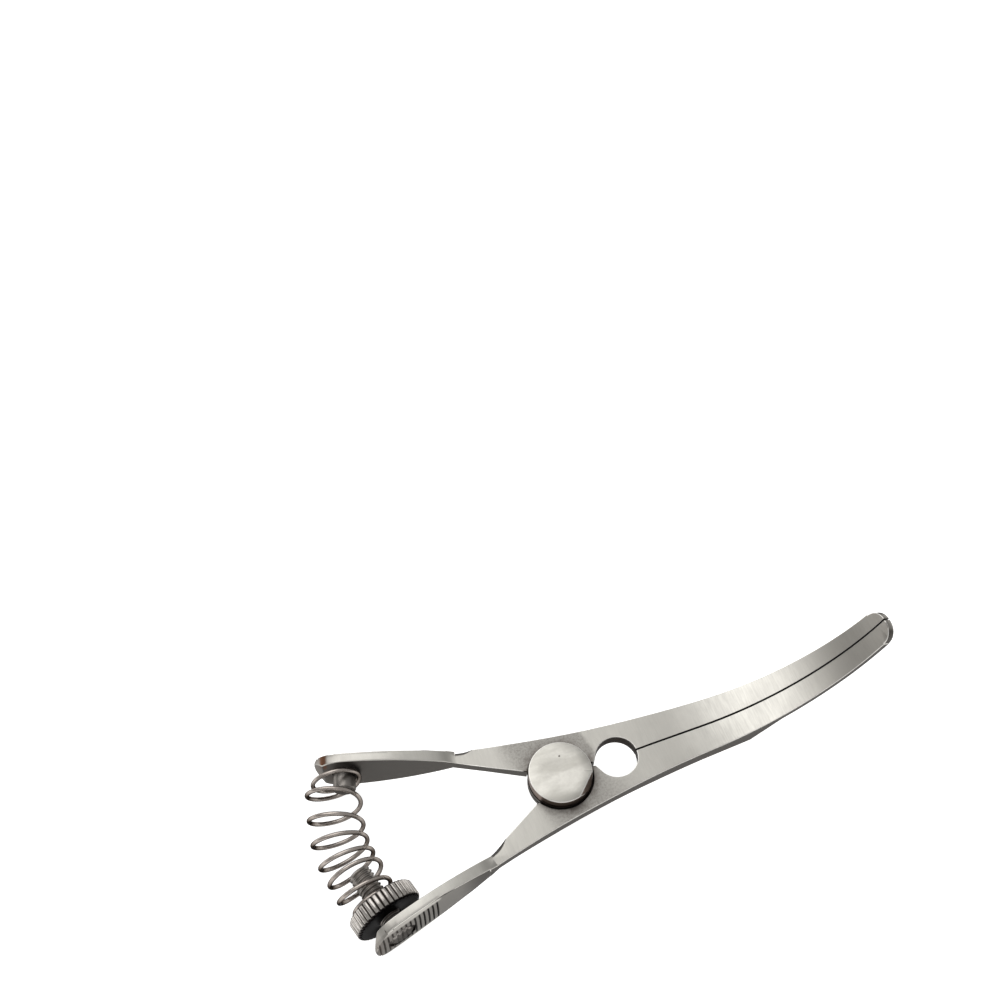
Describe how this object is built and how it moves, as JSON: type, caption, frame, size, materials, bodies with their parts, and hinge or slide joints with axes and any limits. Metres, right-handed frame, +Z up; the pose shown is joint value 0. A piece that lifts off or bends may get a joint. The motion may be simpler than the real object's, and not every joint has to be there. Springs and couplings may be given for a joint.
{
  "type": "spring bulldog clamp",
  "caption": "Small vessel clamp with smooth curved jaws, a half-lap pin joint, ribbed finger pads and a coil spring tuned by a knurled nut.",
  "frame": {"origin": "on the pivot pin's axis, at the middle of the flat arms' thickness", "axes": "+X along the closed jaws towards their tips, +Y towards the upper arm's side, +Z up, along the pivot pin and the way the tips rise"},
  "size_m": [0.09, 0.0306, 0.0227],
  "materials": {
    "jaw_steel": "satin brushed stainless steel",
    "cap_steel": "fine brushed stainless steel",
    "nut_steel": "bright turned and knurled stainless steel",
    "stud_steel": "turned stainless steel",
    "spring_steel": "drawn stainless spring wire, brownish grey"
  },
  "bodies": {
    "lower": {"lower_arm": "jaw_steel", "pivot_pin": "cap_steel", "threaded_stud": "stud_steel"},
    "upper": {"upper_arm": "jaw_steel", "spring_peg": "stud_steel"},
    "coil": {"spring": "spring_steel"},
    "nut": {"adjusting_nut": "nut_steel"}
  },
  "joints": [
    {"name": "jaw_hinge", "type": "hinge", "parent": "lower", "child": "upper", "pos_m": [0, 0, 0], "axis": [0, 0, 1], "range_deg": [0, 18], "stiffness_Nm_per_rad": 0.8, "springref_deg": -14.9, "deforming": ["spring"]},
    {"name": "nut_travel", "type": "slide", "parent": "lower", "child": "coil", "axis": [-0.274, 0.9617, 0], "range_m": [-0.0006, 0.003], "deforming": ["spring"]},
    {"name": "nut_spin", "type": "hinge", "parent": "coil", "child": "nut", "pos_m": [-0.02981, -0.01322, 0], "axis": [-0.274, 0.9617, 0], "range_deg": [-360, 1800]}
  ],
  "couplings": [
    {"joint": "nut_spin", "follows": "nut_travel", "rad_per_m": 10472}
  ]
}
